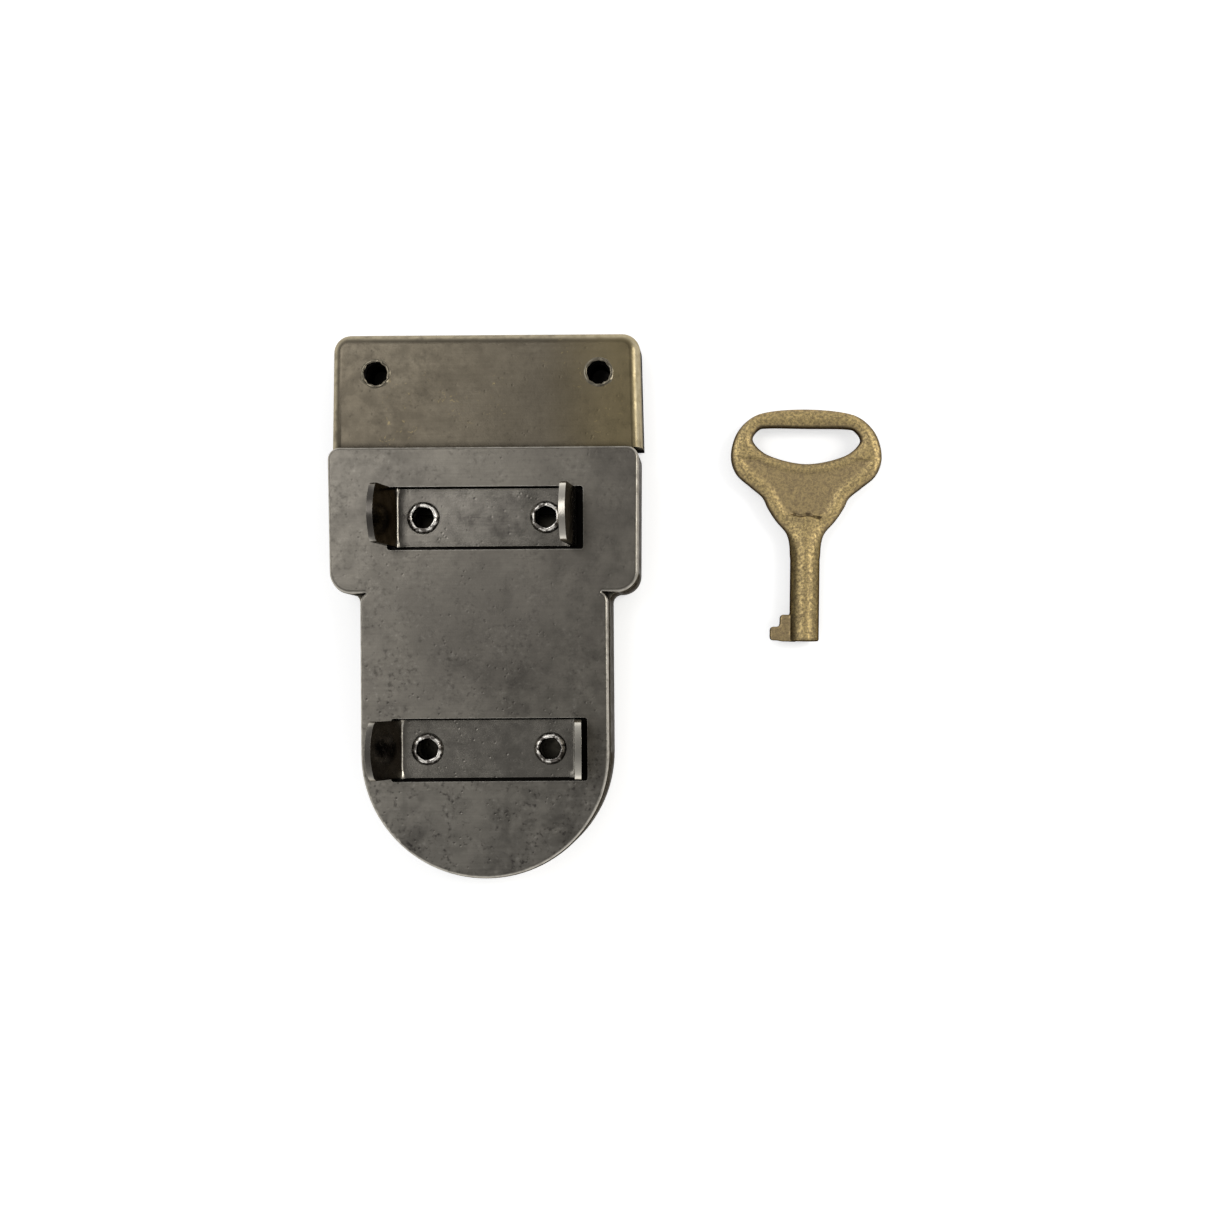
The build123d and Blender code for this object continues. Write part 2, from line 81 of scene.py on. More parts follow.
class Shader:
    """One procedural material, with short calls for the nodes that this scene uses."""

    def __init__(self, name):
        self.material = bpy.data.materials.new(name)
        self.material.use_nodes = True
        self.tree = self.material.node_tree
        self.tree.nodes.clear()
        self.out = self.tree.nodes.new("ShaderNodeOutputMaterial")
        self.surface = self.tree.nodes.new("ShaderNodeBsdfPrincipled")
        self.link(self.surface.outputs[0], self.out.inputs["Surface"])
        self.place = self.tree.nodes.new("ShaderNodeTexCoord").outputs["Object"]

    def link(self, source, target):
        self.tree.links.new(source, target)

    def put(self, value, target):
        """Links an output, or sets a plain value."""
        if isinstance(value, bpy.types.NodeSocket):
            self.link(value, target)
        else:
            target.default_value = value

    def stretched(self, scale, turn=0.0):
        """Object coordinates scaled by axis and turned about Z, in degrees."""
        node = self.tree.nodes.new("ShaderNodeMapping")
        node.inputs["Scale"].default_value = scale
        node.inputs["Rotation"].default_value = (0, 0, math.radians(turn))
        self.link(self.place, node.inputs["Vector"])
        return node.outputs[0]

    def noise(self, size, detail=3.0, rough=0.5, warp=0.0, place=None):
        """Fractal noise whose features are about size metres across."""
        node = self.tree.nodes.new("ShaderNodeTexNoise")
        node.inputs["Scale"].default_value = 1.0 / size
        node.inputs["Detail"].default_value = detail
        node.inputs["Roughness"].default_value = rough
        node.inputs["Distortion"].default_value = warp
        self.link(place or self.place, node.inputs["Vector"])
        return node.outputs["Fac"]

    def cells(self, size, place=None):
        """Distance to the nearest of scattered points about size metres apart."""
        node = self.tree.nodes.new("ShaderNodeTexVoronoi")
        node.inputs["Scale"].default_value = 1.0 / size
        self.link(place or self.place, node.inputs["Vector"])
        return node.outputs["Distance"]

    def ramp(self, value, low, high, bottom=0.0, top=1.0):
        """Maps low..high smoothly to bottom..top and holds it outside."""
        node = self.tree.nodes.new("ShaderNodeMapRange")
        node.interpolation_type = "SMOOTHSTEP"
        self.put(value, node.inputs["Value"])
        node.inputs["From Min"].default_value = low
        node.inputs["From Max"].default_value = high
        node.inputs["To Min"].default_value = bottom
        node.inputs["To Max"].default_value = top
        return node.outputs[0]

    def combine(self, kind, a, b):
        """One step of arithmetic on two values or outputs."""
        node = self.tree.nodes.new("ShaderNodeMath")
        node.operation = kind
        self.put(a, node.inputs[0])
        self.put(b, node.inputs[1])
        return node.outputs[0]

    def times(self, a, b):
        return self.combine("MULTIPLY", a, b)

    def axis(self, which):
        """One object coordinate, in metres."""
        node = self.tree.nodes.new("ShaderNodeSeparateXYZ")
        self.link(self.place, node.inputs[0])
        return node.outputs[which]

    def facing(self, which):
        """One part of the surface normal: Z is 1 on flats seen from above and 0 on side walls."""
        node = self.tree.nodes.new("ShaderNodeSeparateXYZ")
        geometry = self.tree.nodes.new("ShaderNodeNewGeometry")
        self.link(geometry.outputs["Normal"], node.inputs[0])
        return node.outputs[which]

    def blend(self, amount, a, b):
        """Colour a turned into colour b by amount."""
        node = self.tree.nodes.new("ShaderNodeMix")
        node.data_type = "RGBA"
        self.put(amount, node.inputs["Factor"])
        self.put(rgba(a), node.inputs[6])
        self.put(rgba(b), node.inputs[7])
        return node.outputs[2]

    def edges(self, radius, low=0.02, high=0.25):
        """1 on edges that wear: where a bevelled normal leaves the true one."""
        bevel = self.tree.nodes.new("ShaderNodeBevel")
        bevel.samples = 6
        bevel.inputs["Radius"].default_value = radius
        geometry = self.tree.nodes.new("ShaderNodeNewGeometry")
        dot = self.tree.nodes.new("ShaderNodeVectorMath")
        dot.operation = "DOT_PRODUCT"
        self.link(bevel.outputs[0], dot.inputs[0])
        self.link(geometry.outputs["Normal"], dot.inputs[1])
        return self.ramp(self.combine("SUBTRACT", 1.0, dot.outputs["Value"]), low, high)

    def crevices(self, reach, low=0.25, high=0.85):
        """1 deep in gaps, holes and inner corners, 0 in the open."""
        node = self.tree.nodes.new("ShaderNodeAmbientOcclusion")
        node.samples = 8
        node.inputs["Distance"].default_value = reach
        return self.ramp(node.outputs["AO"], low, high, 1.0, 0.0)

    def bump(self, height, distance, strength=1.0, normal=None):
        node = self.tree.nodes.new("ShaderNodeBump")
        node.inputs["Distance"].default_value = distance
        node.inputs["Strength"].default_value = strength
        self.put(height, node.inputs["Height"])
        if normal is not None:
            self.link(normal, node.inputs["Normal"])
        return node.outputs[0]

    def finish(self, color, rough, normal=None, metallic=1.0, **constants):
        self.put(rgba(color), self.surface.inputs["Base Color"])
        self.put(rough, self.surface.inputs["Roughness"])
        self.surface.inputs["Metallic"].default_value = metallic
        for name, value in constants.items():
            self.surface.inputs[name.replace("_", " ")].default_value = value
        if normal is not None:
            self.link(normal, self.surface.inputs["Normal"])
        return self.material


def rgba(color):
    """A colour socket as it is, or three numbers with an alpha of 1."""
    return color if isinstance(color, bpy.types.NodeSocket) else (*color, 1.0)


# ------------------------------------------------------------------- materials

# Near-black: partly grime and partly painted shade in crevices, and painted shade on the rivets' steep
# faces.
GRIME_AND_CREVICE_SHADE = (0.010, 0.009, 0.008)
# Dark stains; also painted shade on side faces and on the left prongs' tip tops.
STAIN_AND_PAINTED_SHADE = (0.026, 0.023, 0.022)
# Brass through scuffed plating; also a painted warm reflection on the clasp's right side.
BRASS_SCUFF_AND_SHEEN_COLOR = (0.34, 0.27, 0.13)


def speckled(s, color, wear_and_highlight_tone, spots):
    """Freckled stains and small pits, denser towards the half-round end; returns colour, stains, pits."""
    low_end = s.ramp(s.axis("Y"), -14 * MM, 26 * MM, 1.0, 0.30)
    clouds = s.ramp(s.noise(3.4 * MM, 5, 0.62, 0.9), 0.40, 0.60)
    grains = s.noise(0.62 * MM, 3, 0.55)
    freckles = s.ramp(grains, 0.48, 0.70)
    stained = s.times(s.times(clouds, freckles), low_end)
    color = s.blend(s.times(stained, spots), color, STAIN_AND_PAINTED_SHADE)
    # Light freckles, painted in as glints.
    painted_glints = s.times(s.times(clouds, s.ramp(grains, 0.30, 0.44, 1.0, 0.0)), low_end)
    color = s.blend(s.times(painted_glints, 0.30 * spots), color, wear_and_highlight_tone)
    gloom = s.times(s.ramp(s.noise(6.5 * MM, 4, 0.6, 0.6), 0.50, 0.68), low_end)
    color = s.blend(s.times(gloom, 0.45 * spots), color, STAIN_AND_PAINTED_SHADE)
    pits = s.ramp(s.cells(0.85 * MM), 0.04, 0.26, 1.0, 0.0)
    pits = s.times(pits, s.ramp(s.noise(2.4 * MM, 2), 0.42, 0.58))
    pits = s.times(pits, low_end)
    color = s.blend(s.times(pits, 0.70), color, STAIN_AND_PAINTED_SHADE)
    return color, stained, pits


def add_brass_scuffs_and_sheen(s, color):
    """Brass showing through scuffs in the plating, and a brass tint that grows to the right, painted in as a
    warm reflection.
    """
    scuffs = s.ramp(s.noise(0.9 * MM, 4, 0.6, 1.5), 0.60, 0.70)
    scuffs = s.times(scuffs, s.ramp(s.noise(7 * MM, 2), 0.52, 0.62))
    color = s.blend(s.times(scuffs, 0.6), color, BRASS_SCUFF_AND_SHEEN_COLOR)
    return s.blend(s.ramp(s.axis("X"), 6 * MM, 19 * MM, 0.0, 0.45), color, BRASS_SCUFF_AND_SHEEN_COLOR)


def plated(s, light, dark, wear_and_highlight_tone, lines):
    """Patches and mottling of two tones under faint brush lines, paler at the half-round end."""
    patches = s.ramp(s.noise(13 * MM, 3, 0.5, 0.5), 0.34, 0.68)
    mottle = s.ramp(s.noise(2.2 * MM, 5, 0.65, 0.3), 0.30, 0.72)
    color = s.blend(s.times(patches, 0.55), light, dark)
    color = s.blend(s.ramp(s.axis("Y"), -12 * MM, 14 * MM, 0.18, 0.0), color, wear_and_highlight_tone)
    color = s.blend(s.times(mottle, 0.22), color, dark)
    return s.blend(s.ramp(lines, 0.30, 0.72, 0.0, 0.22), color, dark)


def rub_edges_and_paint_sheen(s, color, wear_and_highlight_tone, width, rolled):
    """Plating lost in patches along sharp edges, and by rolled on the sloped faces of rounded ones; on those
    faces the pale tone is partly wear and partly a painted highlight.
    """
    fading = s.ramp(s.noise(1.1 * MM, 3), 0.25, 0.60, 0.25, 0.9)
    color = s.blend(s.times(s.edges(width), fading), color, wear_and_highlight_tone)
    facing = s.facing("Z")
    slopes = s.times(s.ramp(facing, 0.80, 0.985, 1.0, 0.0), s.ramp(facing, 0.10, 0.45))
    return s.blend(s.times(s.times(slopes, fading), rolled), color, wear_and_highlight_tone)


def to_right(s, left, right):
    """One value left of the lock's centre line and another right of it."""
    return s.ramp(s.ramp(s.axis("X"), -3 * MM, 3 * MM), 0.0, 1.0, left, right)


def paint_tip_light(s, color, wear_and_highlight_tone, amount):
    """Upper ends of the prongs: a painted highlight on the right ones, and painted shade on the left ones.
    """
    tip = s.times(s.ramp(s.axis("Z"), 12.6 * MM, 13.6 * MM), s.ramp(s.facing("Z"), 0.2, 0.6))
    color = s.blend(s.times(tip, to_right(s, 0.0, amount)), color, wear_and_highlight_tone)
    return s.blend(s.times(tip, to_right(s, amount, 0.0)), color, STAIN_AND_PAINTED_SHADE)


def paint_wall_shade(s, color, amounts):
    """Side faces painted dark as shade, by the left and right amounts."""
    facing = s.facing("Z")
    wall = s.times(s.ramp(facing, 0.25, 0.65, 1.0, 0.0), s.ramp(facing, -0.80, -0.45))
    return s.blend(s.times(wall, to_right(s, *amounts)), color, STAIN_AND_PAINTED_SHADE)


def plating_relief(s, lines, pits):
    """Normals of brush lines, orange peel, a slight waviness and sunk pits."""
    scratches = s.bump(lines, 0.008 * MM, 0.4)
    peel = s.bump(s.noise(0.8 * MM, 3), 0.010 * MM, 0.7, scratches)
    wavy = s.bump(s.noise(6.0 * MM, 1), 0.05 * MM, 0.8, peel)
    return s.bump(s.times(pits, -1.0), 0.03 * MM, 0.8, wavy)


def gunmetal(
    name, tones, spots, turn, rough_range, with_brass_and_sheen=False, wall_shade_amounts=(0.0, 0.0),
    rolled=0.5, tips=0.0, crevice_darkening_reach=(1.6, 0.34, 0.92), glare=0.8, rub=0.25,
):
    """Antique gunmetal plating.

    tones: light and dark colours, and a pale one used for wear and for painted highlights. spots: strength
    of the stains. turn: degrees from brushing along X.
    crevice_darkening_reach: the reach in mm, and the openness over which it fades, of near-black crevices
    that are partly grime and partly painted shade. glare: strength of reflections at
    grazing angles. rub: width of the edge wear in mm. The other values are those of the functions above.
    """
    s = Shader(name)
    light, dark, wear_and_highlight_tone = tones
    lines = s.noise(1.0, 4, 0.6, place=s.stretched((90, 4200, 90), turn))
    color = plated(s, light, dark, wear_and_highlight_tone, lines)
    color, stained, pits = speckled(s, color, wear_and_highlight_tone, spots)
    if with_brass_and_sheen:
        color = add_brass_scuffs_and_sheen(s, color)
    color = rub_edges_and_paint_sheen(s, color, wear_and_highlight_tone, rub * MM, rolled)
    if tips:
        color = paint_tip_light(s, color, wear_and_highlight_tone, tips)
    if any(wall_shade_amounts):
        color = paint_wall_shade(s, color, wall_shade_amounts)
    # Crevices darkened towards near-black: partly grime, partly painted shade.
    reach, low, high = crevice_darkening_reach
    deep = s.crevices(reach * MM, low, high)
    grime_and_shade_mask = s.times(deep, s.ramp(s.noise(1.2 * MM, 4), 0.2, 0.6, 0.75, 1.0))
    color = s.blend(grime_and_shade_mask, color, GRIME_AND_CREVICE_SHADE)
    rough = s.ramp(s.noise(2.0 * MM, 4, 0.6), 0.3, 0.7, *rough_range)
    rough = s.combine("ADD", rough, s.times(stained, 0.16))
    rough = s.combine("ADD", rough, s.times(grime_and_shade_mask, 0.25))
    tint = (glare, glare * 0.94, glare * 0.84, 1.0)
    return s.finish(color, rough, plating_relief(s, lines, pits), Anisotropic=0.2, Specular_Tint=tint)


def antique_brass():
    """Antique brass on a cast key: golden where handling has polished it, brown in the sunk field.

    Steep faces and everything that faces down are painted black as shade, and so are faces turned left or
    towards the bit; faces turned right are painted darker. Crevices are near-black, partly patina and partly
    painted shade.
    """
    s = Shader("antique_brass")
    gold = (0.74, 0.56, 0.25)
    olive = (0.32, 0.245, 0.130)
    brown = (0.300, 0.225, 0.140)
    black = (0.030, 0.024, 0.016)
    broad = s.ramp(s.noise(4.5 * MM, 4, 0.6, 0.4), 0.32, 0.66)
    grain = s.noise(0.36 * MM, 4, 0.70)
    color = s.blend(s.ramp(grain, 0.36, 0.62), gold, olive)
    color = s.blend(s.times(broad, 0.25), color, olive)
    specks = s.ramp(s.noise(0.26 * MM, 3, 0.6), 0.53, 0.66)
    color = s.blend(s.times(specks, 0.42), color, black)
    sunk = s.ramp(s.axis("Z"), 2.66 * MM, 2.88 * MM, 0.50, 0.0)
    color = s.blend(sunk, color, brown)
    # Painted shade: steep faces, and all that face down, go black.
    walls = s.ramp(s.facing("Z"), 0.15, 0.72, 0.95, 0.0)
    # Painted shade by side: faces turned left go nearly black, and faces turned right go darker.
    left_face_shade = s.ramp(s.facing("X"), -0.75, -0.30, 0.76, 0.0)
    right_face_shade = s.ramp(s.facing("X"), 0.18, 0.60, 0.0, 0.60)
    color = s.blend(left_face_shade, color, black)
    color = s.blend(right_face_shade, color, black)
    # Painted shade on faces turned towards the bit.
    color = s.blend(s.ramp(s.facing("Y"), -0.75, -0.35, 0.75, 0.0), color, black)
    color = s.blend(walls, color, black)
    # Crevices near-black: partly patina, partly painted shade.
    deep = s.crevices(0.8 * MM, 0.40, 0.90)
    color = s.blend(s.times(deep, 0.9), color, black)
    rough = s.ramp(grain, 0.3, 0.7, 0.38, 0.58)
    cast = s.bump(grain, 0.045 * MM, 0.9)
    lumpy = s.bump(s.noise(1.5 * MM, 2), 0.05 * MM, 0.6, cast)
    return s.finish(color, rough, lumpy, Specular_Tint=(0.35, 0.29, 0.18, 1.0))


def dark_nickel():
    """Dark nickel on the rolled rivets: bright rims over roots whose steep faces are painted nearly black as
    shade.
    """
    s = Shader("dark_nickel")
    tone = s.ramp(s.noise(0.8 * MM, 3, 0.6), 0.44, 0.56)
    color = s.blend(tone, (0.95, 0.91, 0.84), (0.16, 0.145, 0.13))
    color = s.blend(s.edges(0.12 * MM, 0.02, 0.3), color, (0.80, 0.77, 0.72))
    # Painted shade: the rivets' steep faces go nearly black.
    walls = s.ramp(s.facing("Z"), 0.35, 0.90, 0.96, 0.0)
    color = s.blend(walls, color, GRIME_AND_CREVICE_SHADE)
    # Crevices darkened towards near-black: partly grime, partly painted shade.
    color = s.blend(s.crevices(0.7 * MM, 0.25, 0.65), color, GRIME_AND_CREVICE_SHADE)
    rough = s.ramp(s.noise(0.5 * MM, 3), 0.3, 0.7, 0.16, 0.34)
    return s.finish(color, rough, s.bump(s.noise(0.35 * MM, 3), 0.02 * MM, 0.7))


def oiled_steel():
    """Oil-blackened pressed steel, for what is inside the case."""
    s = Shader("oiled_steel")
    bloom = s.ramp(s.noise(2.2 * MM, 5, 0.65, 0.5), 0.35, 0.68)
    color = s.blend(bloom, (0.20, 0.195, 0.185), (0.10, 0.098, 0.095))
    lines = s.noise(1.0, 3, 0.6, place=s.stretched((5200, 90, 90)))
    color = s.blend(s.ramp(lines, 0.35, 0.7, 0.0, 0.35), color, (0.06, 0.06, 0.06))
    color = s.blend(s.edges(0.15 * MM), color, (0.45, 0.44, 0.42))
    # Crevices darkened towards near-black: partly grime, partly painted shade.
    color = s.blend(s.crevices(4.0 * MM, 0.45, 0.95), color, GRIME_AND_CREVICE_SHADE)
    rough = s.ramp(s.noise(1.4 * MM, 3), 0.3, 0.7, 0.28, 0.42)
    return s.finish(color, rough, s.bump(lines, 0.01 * MM, 0.6))


def spring_steel():
    """Blued spring strip."""
    s = Shader("spring_steel")
    temper = s.ramp(s.noise(3.0 * MM, 3), 0.35, 0.65)
    color = s.blend(temper, (0.10, 0.12, 0.19), (0.19, 0.16, 0.14))
    color = s.blend(s.edges(0.1 * MM), color, (0.5, 0.5, 0.5))
    # Crevices darkened towards near-black: partly grime, partly painted shade.
    color = s.blend(s.crevices(4.0 * MM, 0.45, 0.95), color, GRIME_AND_CREVICE_SHADE)
    return s.finish(color, s.ramp(s.noise(0.6 * MM, 3), 0.3, 0.7, 0.22, 0.34))


def table_white():
    """Plain white sheet."""
    s = Shader("table_white")
    tone = s.ramp(s.noise(60 * MM, 3), 0.3, 0.7)
    color = s.blend(tone, (0.94, 0.94, 0.94), (0.92, 0.92, 0.92))
    s.surface.inputs["Emission Color"].default_value = (1, 1, 1, 1)
    s.surface.inputs["Emission Strength"].default_value = 0.50
    return s.finish(color, 0.9, metallic=0.0)


plate_metal = gunmetal(
    "gunmetal_grey", ((0.225, 0.207, 0.175), (0.135, 0.123, 0.107), (0.60, 0.57, 0.51)),
    0.85, 0.0, (0.28, 0.40),
)
# Prongs: the left ones' side faces are painted dark as shade; tip tops are painted bright on the right ones
# and dark on the left ones.
prong_metal = gunmetal(
    "gunmetal_prong", ((0.250, 0.232, 0.200), (0.165, 0.150, 0.132), (0.70, 0.66, 0.58)),
    0.30, 90.0, (0.16, 0.26), wall_shade_amounts=(0.96, 0.0), rolled=0.9, tips=0.7,
    crevice_darkening_reach=(1.8, 0.44, 0.94), glare=0.5, rub=0.10,
)
clasp_metal = gunmetal(
    "gunmetal_olive", ((0.160, 0.138, 0.103), (0.100, 0.084, 0.061), (0.56, 0.49, 0.34)),
    0.35, 90.0, (0.28, 0.40), with_brass_and_sheen=True,
)
# The case's and the clasp front's side faces are painted dark as shade on both sides.
case_metal = gunmetal(
    "gunmetal_case", ((0.195, 0.178, 0.140), (0.115, 0.104, 0.080), (0.50, 0.46, 0.36)),
    0.30, 90.0, (0.28, 0.40), wall_shade_amounts=(0.6, 0.6), rolled=0.2, glare=0.25,
)
clasp_front_metal = gunmetal(
    "gunmetal_clasp_front", ((0.180, 0.155, 0.117), (0.110, 0.092, 0.067), (0.50, 0.44, 0.31)),
    0.35, 90.0, (0.28, 0.40), wall_shade_amounts=(0.97, 0.97), rolled=0.0, glare=0.05,
)
burr_metal = gunmetal(
    "gunmetal_burr", ((0.24, 0.21, 0.16), (0.11, 0.10, 0.07), (0.80, 0.76, 0.68)),
    0.50, 0.0, (0.22, 0.36), rolled=0.0, rub=0.05,
)
rivet_metal = dark_nickel()
steel = oiled_steel()
spring = spring_steel()
brass = antique_brass()

SLOT_MATERIALS = {
    "gunmetal_grey": plate_metal,
    "gunmetal_olive": clasp_metal,
    "nickel_rivet": rivet_metal,
    "plain_steel": steel,
    "spring_steel": spring,
    "antique_brass": brass,
}
NODE_MATERIALS = {"case_front_shell": case_metal, "flap_front_shell": clasp_front_metal}
EDGE_ROUNDING = {
    "back_plate": 0.10 * MM,
    "flap_back_shell": 0.10 * MM,
    "flap_front_shell": 0.12 * MM,
    "case_front_shell": 0.12 * MM,
    "staple_tongue": 0.12 * MM,
    "bolt": 0.10 * MM,
}


def dress_cad_nodes():
    """Gives every CAD node its slot's material, and rounds the sharp edges of the pressed parts."""
    slots = {row["node"]: row["material_slot"] for row in frame["record"]["subparts"]}
    for name, part in frame["nodes"].items():
        material = NODE_MATERIALS.get(name, SLOT_MATERIALS[slots[name]])
        for holder in part.material_slots:
            holder.material = material
        if name in EDGE_ROUNDING:
            weld = part.modifiers.new("weld", "WELD")
            weld.merge_threshold = 0.0005 * MM
            round_off(part, EDGE_ROUNDING[name], 40)


def round_off(piece, width, angle):
    """Rounds every edge sharper than angle, in degrees, to width, in metres."""
    bevel = piece.modifiers.new("round_edges", "BEVEL")
    bevel.width = width
    bevel.segments = 3
    bevel.limit_method = "ANGLE"
    bevel.angle_limit = math.radians(angle)
    bevel.harden_normals = True


# ---------------------------------------------------------------- mesh helpers


def mesh_of(name, points, faces):
    """A mesh in metres from points in millimetres, with faces turned outwards."""
    mesh = bpy.data.meshes.new(name)
    mesh.from_pydata([tuple(float(c) * MM for c in p) for p in points], [], [list(f) for f in faces])
    shape = bmesh.new()
    shape.from_mesh(mesh)
    bmesh.ops.remove_doubles(shape, verts=shape.verts, dist=1e-4 * MM)
    bmesh.ops.recalc_face_normals(shape, faces=shape.faces)
    shape.to_mesh(mesh)
    shape.free()
    return mesh


def add_object(name, mesh):
    piece = bpy.data.objects.new(name, mesh)
    bpy.context.scene.collection.objects.link(piece)
    return piece


def add_piece(name, points, faces, body, slot, material, replaced=(), crease=35):
    """A piece that rides a body and stands for CAD nodes; edges sharper than crease stay sharp."""
    mesh = mesh_of(name, points, faces)
    mesh.shade_smooth()
    mesh.set_sharp_from_angle(angle=math.radians(crease))
    mesh.materials.append(material)
    piece = add_object(name, mesh)
    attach(piece, body)
    if replaced:
        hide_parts(*replaced)
    return piece


def circle(x, y, radius, height, around):
    """Points around an upright axis."""
    turns = [2 * math.pi * a / around for a in range(around)]
    return [(x + radius * math.cos(t), y + radius * math.sin(t), height) for t in turns]


def ring_faces(rings, around, closed_up):
    """Quads over rings of points; closed_up joins the last ring to the first."""
    faces = []
    for i in range(rings if closed_up else rings - 1):
        j = (i + 1) % rings
        for a in range(around):
            b = (a + 1) % around
            faces.append((i * around + a, i * around + b, j * around + b, j * around + a))
    return faces


def capped(rings, around):
    """Faces of an open tube of rings with both ends closed."""
    last = (rings - 1) * around
    ends = [list(range(around)), list(range(last, last + around))]
    return ring_faces(rings, around, False) + ends


def joined(groups):
    """Several lists of points and faces as one."""
    points, faces = [], []
    for more_points, more_faces in groups:
        start = len(points)
        points += list(more_points)
        faces += [[start + i for i in face] for face in more_faces]
    return points, faces


def pair_in(node):
    """Left and right centres of a node's two round solids, their outer radius, foot and top, in mm."""
    low, high = (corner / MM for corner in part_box(node))
    outer = (high.y - low.y) / 2
    y = (low.y + high.y) / 2
    return (low.x + outer, y), (high.x - outer, y), outer, low.z, high.z


def wave(x, low, high):
    """0 below low, 1 above high, smooth between."""
    t = np.clip((x - low) / (high - low), 0.0, 1.0)
    return t * t * (3 - 2 * t)


# --------------------------------------------------------------------- eyelets

# Radius and height round the rivet's section, and how far its lobes reach there.
EYELET_SECTION = [
    (1.44, 4.80, 0.0), (1.36, 5.60, 0.0), (1.28, 6.50, 0.2), (1.25, 6.95, 0.8), (1.29, 7.22, 1.0),
    (1.37, 7.40, 1.0), (1.47, 7.50, 0.9), (1.58, 7.52, 0.7), (1.70, 7.46, 0.7), (1.84, 7.32, 0.8),
    (1.98, 7.14, 1.0), (2.06, 7.00, 1.0), (2.03, 6.91, 0.9), (1.84, 6.89, 0.3), (1.79, 6.80, 0.0),
    (1.79, 5.35, 0.0), (1.84, 5.29, 0.0), (2.04, 5.27, 0.0), (2.10, 5.18, 0.0), (2.10, 4.95, 0.0),
    (2.02, 4.83, 0.0), (1.85, 4.80, 0.0), (1.60, 4.79, 0.0),
]
EYELET_LOBES = 6
EYELET_CREST = 1.55
LOBE_REACH = 0.022
DENT_WIDTH = 0.16
DENT_REACH = 0.045
DENT_DEPTH = 0.08
RIM_TILT = 0.035


def eyelet_mesh(x, y, seed):
    """Tubular rivet: clinched flange below, plain barrel, and a rim rolled out in uneven lobes."""
    around = 96
    points = []
    for radius, height, give in EYELET_SECTION:
        inward = 1 if radius < EYELET_CREST else -1
        for a in range(around):
            turn = 2 * math.pi * a / around
            lobe = math.cos(EYELET_LOBES * turn + seed) + 0.6 * math.sin(3 * turn + 2.1 * seed)
            dent = math.exp(-((math.sin((EYELET_LOBES * turn + seed) / 2) / DENT_WIDTH) ** 2))
            r = radius + give * (LOBE_REACH * lobe + DENT_REACH * inward * dent)
            z = height + give * (RIM_TILT * math.sin(2 * turn + seed) - DENT_DEPTH * dent)
            points.append((x + r * math.cos(turn), y + r * math.sin(turn), z))
    return points, ring_faces(len(EYELET_SECTION), around, True)


def make_eyelets():
    for node, seeds in (("upper_eyelets", (0.6, 2.9)), ("lower_eyelets", (4.4, 5.5))):
        places = pair_in(node)[:2]
        mesh = joined([eyelet_mesh(*place, seed) for place, seed in zip(places, seeds)])
        add_piece(f"{node}_rolled", *mesh, "lock_body", "nickel_rivet", rivet_metal, [node], 60)


# -------------------------------------------------------------------- brackets

# Spacing of the mesh along the strip, and its columns across each face.
STRIP_SPACING = 0.45
STRIP_COLUMNS = 22
# The share of a prong over which its crown fades, and the extra drop of its last corners.
CROWN_FADE = 0.8
CORNER_DROP = 3.5
CORNER_START = 0.9
# The squeezed metal of a bend: how far it reaches, and its ridge's height, width and place from the edge.
SQUEEZE_REACH = 0.62
CURL_HEIGHT = 0.20
CURL_WIDTH = 0.42
CURL_INSET = 0.25
SQUEEZE_SPREAD = 0.035
STRIP_RIPPLE = 0.012


def prong_mid_line(side, base_x, lean):
    """Mid-surface of one prong: its tip, and where it meets the web's mid-surface."""
    tilt = math.radians(lean)
    along = np.array([side * math.sin(tilt), math.cos(tilt)])
    across = np.array([-side * math.cos(tilt), math.sin(tilt)])
    start = np.array([side * base_x, BASE_TOP]) + across * STRIP_THICKNESS / 2
    web_height = BASE_TOP + STRIP_THICKNESS / 2
    corner = start + along * (web_height - start[1]) / along[1]
    return start + along * PRONG_LENGTH, corner


def straight(start, end, spacing):
    """Evenly spaced points from start to end."""
    count = max(1, int(round(np.linalg.norm(end - start) / spacing)))
    return [start + (end - start) * i / count for i in range(count + 1)]


def bend(before, corner, after, radius, steps=10):
    """Arc of points that rounds a corner between two runs."""
    a = (before - corner) / np.linalg.norm(before - corner)
    b = (after - corner) / np.linalg.norm(after - corner)
    half = math.acos(float(a @ b)) / 2
    middle = corner + (a + b) / np.linalg.norm(a + b) * radius / math.sin(half)
    reach = radius / math.tan(half)
    first = corner + a * reach - middle
    last = corner + b * reach - middle
    sweep = math.pi - 2 * half
    shares = [i / steps for i in range(steps + 1)]
    weights = [(math.sin((1 - t) * sweep), math.sin(t * sweep)) for t in shares]
    return [middle + (first * u + last * v) / math.sin(sweep) for u, v in weights]


def bracket_path(span, leans):
    """The bent strip's mid-line from left tip to right tip, and the middle of each bend."""
    left_tip, left_corner = prong_mid_line(-1, span / 2, leans[0])
    right_tip, right_corner = prong_mid_line(1, span / 2, leans[1])
    left = bend(left_tip, left_corner, right_corner, BEND_RADIUS)
    right = bend(left_corner, right_corner, right_tip, BEND_RADIUS)
    path = straight(left_tip, left[0], STRIP_SPACING) + left[1:]
    path += straight(left[-1], right[0], STRIP_SPACING)[1:] + right[1:]
    path += straight(right[-1], right_tip, STRIP_SPACING)[1:]
    return np.array(path), (left[len(left) // 2], right[len(right) // 2])


